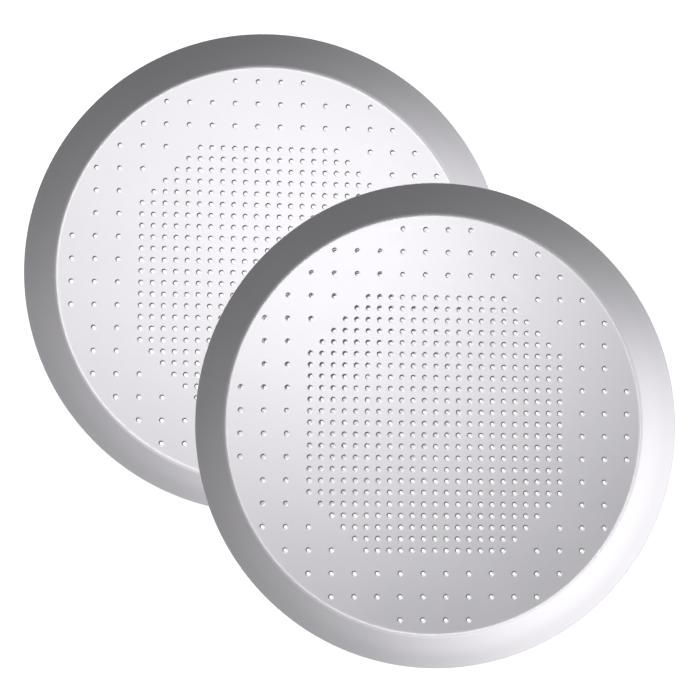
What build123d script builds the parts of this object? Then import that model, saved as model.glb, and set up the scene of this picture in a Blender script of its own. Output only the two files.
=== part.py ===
"""A pair of perforated pizza pans, one lying across the rim of the other.

Each pan is one disc of aluminium sheet, punched with round holes and pressed into a shallow dish: a flat
floor, one bend and a straight sloping wall that ends in a cut edge. The holes are close together in the
middle of the floor, where the dough is wettest, and twice as far apart around it.

Millimetres, +Z up. The origin is on the ground, midway between the centres of the two pans, and X runs
along the rows of holes. The upper pan lies towards +X and -Y.
"""

import os
from math import cos, hypot, pi, radians, sin, sqrt, tan

from build123d import *

os.makedirs("parts", exist_ok=True)

# Pressed dish
sheet = 1.0  # thickness of the aluminium sheet
rim_radius = 152.5  # outermost edge of the pan
wall_width = 17.5  # the sloping wall, seen from above
wall_angle = 35.0  # degrees between the wall and the floor's plane
bend_radius = 5.0  # inside of the bend between floor and wall

# Perforations
hole_diameter = 3.2
hole_pitch = 7.3  # between the rows of the fine field
hole_border = 6.5  # from the corner of floor and wall to the outermost hole centres
hole_sides = 4  # each round hole is cut as a polygon of the same area
fine_rows = 11  # the fine field has this many rows on each side of the middle one
fine_corner_rows = 17  # its cut-off corners, counted in rows along X plus rows along Y
wide_first_row = 13  # the wide field starts at this row
wide_corner_rows = 20  # or where the rows along X plus the rows along Y reach this
wide_row_step = 2  # the wide field leaves out every other row

# How the pans lie
rest_clearance = 0.3  # between the lower pan's lip and the upper pan's floor
balance_margin = 8.0  # from the lower pan's lip inwards to the middle of the upper pan
crossing_angle = -41.4  # degrees from X to the line through the pans' centres
punch_overrun = 1.0  # how far the punches reach past both faces of the sheet

# Sizes that follow from these
floor_radius = rim_radius - wall_width
lip_radius = rim_radius - sheet * sin(radians(wall_angle))
lip_height = sheet + (lip_radius - floor_radius) * tan(radians(wall_angle))
hole_reach = floor_radius - hole_border
punch_radius = hole_diameter / 2 * sqrt(2 * pi / (hole_sides * sin(2 * pi / hole_sides)))
centre_distance = lip_radius - balance_margin
half_x = centre_distance / 2 * cos(radians(crossing_angle))
half_y = centre_distance / 2 * sin(radians(crossing_angle))


def hole_centres():
    """Centres of all the holes: a fine square field with cut-off corners, and a wide field around it."""
    last_row = int(hole_reach / hole_pitch)
    centres = []
    for row in range(-last_row, last_row + 1):
        for column in range(-last_row, last_row + 1):
            furthest, both = max(abs(row), abs(column)), abs(row) + abs(column)
            fine = furthest <= fine_rows and both <= fine_corner_rows
            outer = furthest >= wide_first_row or both >= wide_corner_rows
            wide = outer and row % wide_row_step and column % wide_row_step
            if (fine or wide) and hypot(row, column) * hole_pitch <= hole_reach:
                centres.append((column * hole_pitch, row * hole_pitch))
    return centres


# The pressing: a wall of even thickness turned about the middle, then punched through the floor
with BuildPart() as pressing:
    with BuildSketch(Plane.XZ):
        with BuildLine():
            upper_face = FilletPolyline(
                (0, sheet), (floor_radius, sheet), (lip_radius, lip_height), radius=bend_radius
            )
            offset(upper_face, amount=sheet, side=Side.RIGHT)
        make_face()
    revolve(axis=Axis.Z)
    with BuildSketch(Plane.XY.offset(-punch_overrun)):
        with Locations(hole_centres()):
            RegularPolygon(radius=punch_radius, side_count=hole_sides, rotation=180 / hole_sides)
    extrude(amount=sheet + 2 * punch_overrun, mode=Mode.SUBTRACT)

# Lower pan: flat on the ground
with BuildPart() as lower_pan:
    with Locations((-half_x, -half_y, 0)):
        add(pressing.part)
lower_pan.part.label = "lower_pan"
export_step(lower_pan.part, "parts/lower_pan.step")

# Upper pan: flat on the lower one's lip, with its middle inside that lip, so that it doesn't tip off
with BuildPart() as upper_pan:
    with Locations((half_x, half_y, lip_height + rest_clearance)):
        add(pressing.part)
upper_pan.part.label = "upper_pan"
export_step(upper_pan.part, "parts/upper_pan.step")
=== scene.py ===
"""Two perforated aluminium pizza pans, one lying across the rim of the other, in a white studio.

Metres, +Z up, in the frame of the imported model: the origin is on the ground midway between the pans.
"""
from math import cos, pi, radians, sin, tan

import bpy
from mathutils import Matrix, Vector


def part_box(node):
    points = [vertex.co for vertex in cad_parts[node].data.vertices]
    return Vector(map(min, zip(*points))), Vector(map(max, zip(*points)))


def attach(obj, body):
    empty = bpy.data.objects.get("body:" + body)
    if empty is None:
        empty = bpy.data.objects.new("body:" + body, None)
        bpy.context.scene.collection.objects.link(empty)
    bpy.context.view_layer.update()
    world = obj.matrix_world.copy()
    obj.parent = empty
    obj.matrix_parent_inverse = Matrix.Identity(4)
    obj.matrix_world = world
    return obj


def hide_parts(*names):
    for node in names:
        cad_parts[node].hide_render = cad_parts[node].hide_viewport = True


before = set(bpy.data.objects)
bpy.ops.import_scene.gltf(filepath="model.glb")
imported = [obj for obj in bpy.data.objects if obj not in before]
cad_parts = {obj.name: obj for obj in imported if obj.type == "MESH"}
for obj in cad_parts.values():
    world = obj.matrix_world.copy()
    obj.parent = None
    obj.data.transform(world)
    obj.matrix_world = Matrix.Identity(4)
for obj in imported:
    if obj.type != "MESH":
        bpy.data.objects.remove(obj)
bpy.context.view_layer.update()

# The lower pan: one disc of 1 mm aluminium sheet, punched with 585 round holes and pressed into a flat
# floor, a bend and a slightly hollow wall with a cut edge. The punch rolls each hole's upper edge over and
# leaves the lower one sharp. It stands on the table and carries the other pan.
rim_radius, wall_width = 0.1525, 0.0183
wall_start_angle, wall_angle, wall_curve = radians(31.0), radians(35.0), 0.12
sheet, bend_radius, edge_round = 0.001, 0.006, 0.0002
hole_radius, hole_lip, lip_margin = 0.00100, 0.00086, 0.00010
lip_start, lip_start_slope, lip_slope = 0.00012, radians(13.0), radians(26.0)
hole_pitch, hole_border, plate_border = 0.0073, 0.0057, 0.0028
fine_rows, fine_corner_rows = 11, 17
wide_first_row, wide_corner_rows = 13, 20
rim_sides, hole_sides, bend_steps = 240, 14, 8
edge_clearance = 2.2  # how far beside the cut edge its rounding may reach, in edge radii
sharp_angle = radians(35.0)
weld = 0.000002

# The sheet is bare and rolled, pickled to an even satin that keeps a faint grain of the mill's rolls.
# Handling leaves cloudy patches and a few hairline rubs. One side of each hole's rolled edge carries
# painted shade, in place of the shade that a table close below would cast there.
grain_width, grain_length, grain_depth, grain_detail = 0.0004, 0.012, 0.000004, 3.0
cloud_size, cloud_detail = 0.07, 4.0
rub_width, rub_length, rub_radius, rub_detail = 0.0012, 0.05, 0.13, 2.0
sheet_colour = (0.915, 0.896, 0.938, 1.0)
dull_colour = (0.874, 0.857, 0.899, 1.0)
# the colour of the painted shade on one side of each hole's rolled edge
shade_colour = (0.11, 0.11, 0.115, 1.0)
patch_share, grain_share = 0.8, 0.2
patch_stops, rub_stops = ((0.35, 0.0), (0.65, 1.0)), ((0.66, 0.0), (0.80, 1.0))
satin_roughness, cloud_roughness, grain_roughness, rub_polish = 0.33, 0.05, 0.04, 0.05


class Socket:
    """An output of a node. Sums written on it add Math nodes to its tree."""

    def __init__(self, graph, socket):
        self.graph, self.socket = graph, socket

    def maths(self, operation, *others):
        values = dict(enumerate((self, *others)))
        return self.graph.add("ShaderNodeMath", {"operation": operation}, values)

    def __add__(self, other):
        return self.maths("ADD", other)

    def __sub__(self, other):
        return self.maths("SUBTRACT", other)

    def __rsub__(self, other):
        return self.graph.add("ShaderNodeMath", {"operation": "SUBTRACT"}, {0: other, 1: self})

    def __mul__(self, other):
        return self.maths("MULTIPLY", other)

    def __truediv__(self, other):
        return self.maths("DIVIDE", other)

    def __rtruediv__(self, other):
        return self.graph.add("ShaderNodeMath", {"operation": "DIVIDE"}, {0: other, 1: self})

    def __mod__(self, other):
        return self.maths("MODULO", other)

    def __pow__(self, other):
        return self.maths("POWER", other)

    def __lt__(self, other):
        return self.maths("LESS_THAN", other)

    def __gt__(self, other):
        return self.maths("GREATER_THAN", other)

    __radd__ = __add__
    __rmul__ = __mul__

    def output(self, name):
        """Another output of the same node."""
        return Socket(self.graph, self.socket.node.outputs[name])


class Graph:
    """A node tree. Every node comes from add(), with its settings set before its sockets."""

    def __init__(self, tree):
        self.tree = tree

    def add(self, kind, settings=None, inputs=None, output=0):
        node = self.tree.nodes.new(kind)
        for name, value in (settings or {}).items():
            if name == "stops":
                self.set_stops(node.color_ramp.elements, value)
            elif name == "items":
                while len(node.index_switch_items) < value:
                    node.index_switch_items.new()
            else:
                setattr(node, name, value)
        for name, value in (inputs or {}).items():
            for one in value if isinstance(value, list) else [value]:
                self.feed(node.inputs[name], one)
        return Socket(self, node.outputs[output]) if node.outputs else node

    def feed(self, entry, value):
        if isinstance(value, Socket):
            self.tree.links.new(value.socket, entry)
        else:
            entry.default_value = value

    def set_stops(self, elements, stops):
        while len(elements) < len(stops):
            elements.new(1.0)
        for element, (position, level) in zip(elements, stops):
            element.position = position
            element.color = (level, level, level, 1.0)

    def vector(self, x=0.0, y=0.0, z=0.0):
        return self.add("ShaderNodeCombineXYZ", None, {"X": x, "Y": y, "Z": z})

    def along(self, vector):
        """The X, Y and Z of a vector."""
        x = self.add("ShaderNodeSeparateXYZ", None, {0: vector}, "X")
        return x, x.output("Y"), x.output("Z")


def satin_aluminium(name, centre, seed):
    """The finish of one pan. Its patterns are centred on that pan, and the seed moves its marks."""
    material = bpy.data.materials.new(name)
    material.use_nodes = True
    material.node_tree.nodes.clear()
    g = Graph(material.node_tree)
    place = g.add("ShaderNodeTexCoord", None, None, "Object")
    place = g.add("ShaderNodeMapping", None, {"Vector": place, "Location": tuple(-c for c in centre)})
    x, y, z = g.along(place)
    radius = (x * x + y * y) ** 0.5
    turn = x.maths("ARCTAN2", y)

    def noise(where, detail):
        return g.add("ShaderNodeTexNoise", None, {"Vector": where, "Scale": 1.0, "Detail": detail}, "Fac")

    def mixed(share, first, second):
        sockets = {"Factor": share, "A": first, "B": second}
        return g.add("ShaderNodeMix", {"data_type": "RGBA"}, sockets, "Result")

    # the mill's grain runs along X all over the sheet
    grain_place = g.vector(x / grain_length, y / grain_width, z / grain_width + seed)
    grain = noise(grain_place, grain_detail)
    cloud_place = g.vector(x / cloud_size, y / cloud_size, z / cloud_size + seed)
    clouds = noise(cloud_place, cloud_detail)

    # rubs run round the pan, as one pan is turned in another
    rub_place = g.vector(turn * (rub_radius / rub_length), radius / rub_width, seed)
    rubs = g.add("ShaderNodeValToRGB", {"stops": rub_stops}, {"Fac": noise(rub_place, rub_detail)})
    # painted shade, stored by the pan's tree on one side of each hole's rolled edge
    shaded = g.add("ShaderNodeAttribute", {"attribute_name": "shaded"}, None, "Fac")

    # patches and grain tint the sheet, and painted shade darkens one side of each hole's rolled edge
    patches = g.add("ShaderNodeValToRGB", {"stops": patch_stops}, {"Fac": clouds})
    colour = mixed(patches * patch_share + grain * grain_share, dull_colour, sheet_colour)
    colour = mixed(shaded.maths("MINIMUM", 1.0), colour, shade_colour)
    roughness = satin_roughness + (clouds - 0.5) * cloud_roughness + (grain - 0.5) * grain_roughness
    roughness = roughness - rubs * rub_polish
    bump = g.add(
        "ShaderNodeBump", None, {"Height": grain, "Distance": grain_depth, "Strength": 1.0}, "Normal"
    )
    surface = g.add(
        "ShaderNodeBsdfPrincipled",
        None,
        {"Base Color": colour, "Metallic": 1.0, "Roughness": roughness, "Normal": bump},
    )
    g.add("ShaderNodeOutputMaterial", None, {"Surface": surface})
    return material


def pan_tree():
    """The geometry nodes of one pressed and punched pan."""
    tree = bpy.data.node_groups.new("pressed_pan", "GeometryNodeTree")
    tree.is_modifier = True
    g = Graph(tree)
    kinds = {"Centre": "NodeSocketVector", "Material": "NodeSocketMaterial"}
    names = ["Rim radius", "Rim height", "Wall width", "Wall start angle", "Wall angle", "Wall curve"]
    names += ["Sheet", "Bend radius", "Edge round"]
    names += ["Hole radius", "Hole lip", "Hole pitch", "Hole border", "Fine rows", "Fine corner rows"]
    names += ["Wide first row", "Wide corner rows", "Centre", "Material"]
    for name in names:
        kind = kinds.get(name, "NodeSocketFloat")
        tree.interface.new_socket(name, in_out="INPUT", socket_type=kind)
    tree.interface.new_socket("Pan", in_out="OUTPUT", socket_type="NodeSocketGeometry")
    entry = g.add("NodeGroupInput")
    rim, rim_height, wall, start, angle, curve = [entry.output(n) for n in names[:6]]
    thick, bend, edge, hole, lip, pitch, border = [entry.output(n) for n in names[6:13]]
    fine_last, fine_corner, wide_first, wide_corner = [entry.output(n) for n in names[13:17]]

    def profile(corners):
        """A line through corners given as (radius, height, fillet)."""
        count = len(corners)
        index = g.add("GeometryNodeInputIndex")
        points = {"Index": index} | {str(i): g.vector(r, 0.0, h) for i, (r, h, f) in enumerate(corners)}
        fillets = {"Index": index} | {str(i): f for i, (r, h, f) in enumerate(corners)}
        point = g.add("GeometryNodeIndexSwitch", {"data_type": "VECTOR", "items": count}, points)
        fillet = g.add("GeometryNodeIndexSwitch", {"data_type": "FLOAT", "items": count}, fillets)
        line = g.add("GeometryNodeCurvePrimitiveLine")
        line = g.add("GeometryNodeResampleCurve", None, {"Curve": line, "Count": count})
        line = g.add("GeometryNodeSetPosition", None, {"Geometry": line, "Position": point})
        return line, fillet

    def rounded(line, fillet, steps):
        return g.add(
            "GeometryNodeFilletCurve", {"mode": "POLY"}, {"Curve": line, "Radius": fillet, "Count": steps}
        )

    def turned(line, sides):
        """The surface that a profile sweeps round the Z axis."""
        count = g.add("GeometryNodeAttributeDomainSize", {"component": "CURVE"}, {0: line}, "Point Count")
        grid = g.add(
            "GeometryNodeMeshGrid",
            None,
            {"Size X": 1.0, "Size Y": 1.0, "Vertices X": sides + 1, "Vertices Y": count},
        )
        across, up, unused = g.along(g.add("GeometryNodeInputPosition"))
        step = ((across + 0.5) * sides).maths("ROUND")
        row = ((up + 0.5) * (count - 1)).maths("ROUND")
        point = g.add(
            "GeometryNodeSampleIndex",
            {"data_type": "FLOAT_VECTOR", "domain": "POINT"},
            {"Geometry": line, "Value": g.add("GeometryNodeInputPosition"), "Index": row},
        )
        radius, unused, height = g.along(point)
        angle = step * (2 * pi / sides)
        place = g.vector(radius * angle.maths("COSINE"), radius * angle.maths("SINE"), height)
        return g.add("GeometryNodeSetPosition", None, {"Geometry": grid, "Position": place})

    # bend, hollow wall and cut edge, from the underside round the edge and back along the upper face
    floor_radius = rim - wall
    low_edge = rim_height - thick / angle.maths("COSINE")
    plate_radius = floor_radius - plate_border
    slope, start_slope = angle.maths("TANGENT"), start.maths("TANGENT")
    hollow = (rim_height - thick - slope * rim + start_slope * floor_radius) / (start_slope - slope)
    hollow_height = thick + (hollow - floor_radius) * start_slope
    middle_angle, half_turn = (start + angle) * 0.5, (angle - start) * 0.5
    reach_below = thick / half_turn.maths("COSINE")
    run, rise, clear = angle.maths("COSINE"), angle.maths("SINE"), edge * edge_clearance
    line, fillet = profile(
        [
            (plate_radius, 0.0, 0.0),
            (floor_radius + thick * (start * 0.5).maths("TANGENT"), 0.0, bend + thick),
            (
                hollow + middle_angle.maths("SINE") * reach_below,
                hollow_height - middle_angle.maths("COSINE") * reach_below,
                curve + thick,
            ),
            (rim - run * clear, low_edge - rise * clear, 0.0),
            (rim, low_edge, edge),
            (rim, rim_height, edge),
            (rim - run * clear, rim_height - rise * clear, 0.0),
            (hollow, hollow_height, curve),
            (floor_radius, thick, bend),
            (plate_radius, thick, 0.0),
        ]
    )
    wall_skin = turned(rounded(line, fillet, bend_steps), rim_sides)

    # one hole: the rolled upper edge, then straight down
    first = thick - lip_start * tan(lip_start_slope)
    line, fillet = profile(
        [
            (hole + lip + lip_margin, thick, 0.0),
            (hole + lip, thick, 0.0),
            (hole + lip - lip_start, first, 0.0),
            (hole, first - (lip - lip_start) * tan(lip_slope), 0.0),
            (hole, 0.0, 0.0),
        ]
    )
    hole_skin = turned(line, hole_sides)

    # painted shade: 1 on the rolled edge towards -X and +Y, and 0 on the sheet and on the opposite side
    x, y, height = g.along(g.add("GeometryNodeInputPosition"))
    depth = ((thick - height) / lip_start).maths("MINIMUM", 1.0)
    side = ((y - x) / (hole + lip)).maths("MAXIMUM", 0.0)
    hole_skin = g.add(
        "GeometryNodeStoreNamedAttribute",
        {"data_type": "FLOAT", "domain": "POINT"},
        {"Geometry": hole_skin, "Name": "shaded", "Value": depth * side},
    )

    # the hole pattern: a fine square field with cut-off corners, and a wide field around it
    reach = floor_radius - border
    last_row = (reach / pitch).maths("FLOOR")
    size, rows = last_row * pitch * 2, last_row * 2 + 1
    lattice = g.add(
        "GeometryNodeMeshGrid",
        None,
        {"Size X": size, "Size Y": size, "Vertices X": rows, "Vertices Y": rows},
    )
    x, y, unused = g.along(g.add("GeometryNodeInputPosition"))
    column = (x / pitch).maths("ROUND").maths("ABSOLUTE")
    row = (y / pitch).maths("ROUND").maths("ABSOLUTE")
    furthest, both = column.maths("MAXIMUM", row), column + row
    fine = (furthest < fine_last + 0.5) * (both < fine_corner + 0.5)
    outer = (furthest > wide_first - 0.5).maths("MAXIMUM", both > wide_corner - 0.5)
    wide = outer * (column % 2) * (row % 2)
    within = ((x * x + y * y) ** 0.5) < reach
    punched = fine.maths("MAXIMUM", wide) * within

    def punched_with(shape):
        shape = g.add(
            "GeometryNodeInstanceOnPoints",
            None,
            {"Points": lattice, "Selection": punched, "Instance": shape},
        )
        return g.add("GeometryNodeRealizeInstances", None, {"Geometry": shape})

    def plate(hole_size):
        """A flat disc with the holes left out."""
        outline = g.add(
            "GeometryNodeCurvePrimitiveCircle", None, {"Resolution": rim_sides, "Radius": plate_radius}
        )
        circle = g.add(
            "GeometryNodeCurvePrimitiveCircle", None, {"Resolution": hole_sides, "Radius": hole_size}
        )
        both_curves = g.add("GeometryNodeJoinGeometry", None, {"Geometry": [outline, punched_with(circle)]})
        return g.add("GeometryNodeFillCurve", {"mode": "TRIANGLES"}, {"Curve": both_curves})

    upper = g.add(
        "GeometryNodeSetPosition",
        None,
        {"Geometry": plate(hole + lip + lip_margin), "Offset": g.vector(0.0, 0.0, thick)},
    )
    under = g.add("GeometryNodeFlipFaces", None, {"Mesh": plate(hole)})
    skins = [wall_skin, punched_with(hole_skin), upper, under]
    pan = g.add("GeometryNodeJoinGeometry", None, {"Geometry": skins})
    pan = g.add("GeometryNodeMergeByDistance", None, {"Geometry": pan, "Distance": weld})
    pan = g.add("GeometryNodeTransform", None, {"Geometry": pan, "Translation": entry.output("Centre")})
    corner = g.add("GeometryNodeInputMeshEdgeAngle") > sharp_angle
    pan = g.add("GeometryNodeSetShadeSmooth", {"domain": "FACE"}, {0: pan, "Shade Smooth": True})
    pan = g.add(
        "GeometryNodeSetShadeSmooth",
        {"domain": "EDGE"},
        {0: pan, "Selection": corner, "Shade Smooth": False},
    )
    pan = g.add("GeometryNodeRealizeInstances", None, {"Geometry": pan})
    pan = g.add(
        "GeometryNodeSetMaterial", None, {"Geometry": pan, "Material": entry.output("Material")}
    )
    g.add("NodeGroupOutput", None, {"Pan": pan})
    return tree


def pressed_pan(body, seed):
    """The plain mesh of one pan with its finish, at the place of the CAD's pan of that name."""
    low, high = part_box(body)
    centre, rim_height = ((low.x + high.x) / 2, (low.y + high.y) / 2, low.z), high.z - low.z
    finish = satin_aluminium(body + "_satin_aluminium", centre, seed)
    sizes = [rim_radius, rim_height, wall_width, wall_start_angle, wall_angle, wall_curve]
    sizes += [sheet, bend_radius, edge_round, hole_radius, hole_lip, hole_pitch, hole_border]
    sizes += [fine_rows, fine_corner_rows, wide_first_row, wide_corner_rows, centre, finish]
    name = body + "_pressing"
    blank = bpy.data.objects.new(name + "_blank", bpy.data.meshes.new(name + "_blank"))
    bpy.context.scene.collection.objects.link(blank)
    modifier = blank.modifiers.new("pressed_pan", "NODES")
    modifier.node_group = pan_shape
    sockets = [item for item in pan_shape.interface.items_tree if item.in_out == "INPUT"]
    for socket, value in zip(sockets, sizes):
        modifier[socket.identifier] = float(value) if isinstance(value, int) else value
    blank.update_tag()
    shaped = blank.evaluated_get(bpy.context.evaluated_depsgraph_get())
    mesh = bpy.data.meshes.new_from_object(shaped, depsgraph=bpy.context.evaluated_depsgraph_get())
    mesh.name = name
    bpy.data.objects.remove(blank)
    pan = bpy.data.objects.new(name, mesh)
    bpy.context.scene.collection.objects.link(pan)
    return pan


pan_shape = pan_tree()
lower_pan = pressed_pan("lower_pan", seed=3.0)
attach(lower_pan, "lower_pan")
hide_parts("lower_pan")

# The upper pan: the same pressing in the same sheet, lying loose across the rim of the lower one. It throws
# no shade on that pan and isn't mirrored in it, as each pan is lit as if it lay alone.
upper_pan = pressed_pan("upper_pan", seed=8.0)
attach(upper_pan, "upper_pan")
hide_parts("upper_pan")
upper_pan.visible_shadow = upper_pan.visible_glossy = False

# The studio: a white table that glows a little, so that it stays white under the pans and in their holes.
# A small softbox hangs almost straight above, two wide ones stand half up on the far and the left side, a
# weak one stands on the right, and dim walls close the rest. The camera sees plain white behind the table.
table_size = 6.0
table_colour, table_glow, white = (0.9, 0.9, 0.9, 1.0), 0.85, (1.0, 1.0, 1.0, 1.0)
wall_level = 0.175
softboxes = (  # turn from +X, rise, spread in degrees, and level
    (45.0, 82.0, 3.0, 7.1),
    (105.0, 45.0, 20.0, 1.15),
    (170.0, 45.0, 25.0, 1.30),
    (40.0, 40.0, 25.0, 0.30),
)

half = table_size / 2
table = bpy.data.objects.new("table", bpy.data.meshes.new("table"))
table.data.from_pydata(
    [(-half, -half, 0), (half, -half, 0), (half, half, 0), (-half, half, 0)], [], [(0, 1, 2, 3)]
)
bpy.context.scene.collection.objects.link(table)
paint = bpy.data.materials.new("white_table")
paint.use_nodes = True
paint.node_tree.nodes.clear()
g = Graph(paint.node_tree)
surface = g.add(
    "ShaderNodeBsdfPrincipled",
    None,
    {"Base Color": table_colour, "Roughness": 1.0, "Emission Color": white, "Emission Strength": table_glow},
)
g.add("ShaderNodeOutputMaterial", None, {"Surface": surface})
table.data.materials.append(paint)
table.visible_glossy = False

world = bpy.data.worlds.new("studio_lights")
bpy.context.scene.world = world
world.use_nodes = True
world.node_tree.nodes.clear()
g = Graph(world.node_tree)
direction = g.add("ShaderNodeTexCoord", None, None, "Generated")
brightness = wall_level
for turn, rise, spread, level in softboxes:
    turn, rise, spread = radians(turn), radians(rise), radians(spread)
    middle = (cos(rise) * cos(turn), cos(rise) * sin(turn), sin(rise))
    near = g.add("ShaderNodeVectorMath", {"operation": "DOT_PRODUCT"}, {0: direction, 1: middle}, "Value")
    brightness = brightness + ((near - 1) / spread ** 2).maths("EXPONENT") * level
seen_directly = g.add("ShaderNodeLightPath", None, None, "Is Camera Ray")
lights = g.add("ShaderNodeBackground", None, {"Strength": brightness})
backdrop = g.add("ShaderNodeBackground", None, {"Strength": 1.0, "Color": white})
both = g.add("ShaderNodeMixShader", None, {0: seen_directly, 1: lights, 2: backdrop})
g.add("ShaderNodeOutputWorld", None, {"Surface": both})

# The camera: high over the table, a little left of the pans and on the near side, with a long lens.
camera_place = Vector((-0.089, -0.049, 0.961))
camera_aim = Vector((-0.0016, -0.0016, 0.017))
camera_roll = radians(-0.6)
focal_pixels, image_pixels, sensor_mm = 1500.0, 700.0, 36.0

lens = bpy.data.cameras.new("camera")
lens.sensor_width = sensor_mm
lens.lens = focal_pixels / image_pixels * sensor_mm
camera = bpy.data.objects.new("camera", lens)
bpy.context.scene.collection.objects.link(camera)
looking = (camera_aim - camera_place).normalized()
side = looking.cross(Vector((0, 1, 0))).normalized()
upright = side.cross(looking)
axes = Matrix((side, upright, -looking)).transposed() @ Matrix.Rotation(-camera_roll, 3, "Z")
camera.matrix_world = Matrix.Translation(camera_place) @ axes.to_4x4()
bpy.context.scene.camera = camera
bpy.context.scene.view_settings.view_transform = "Standard"
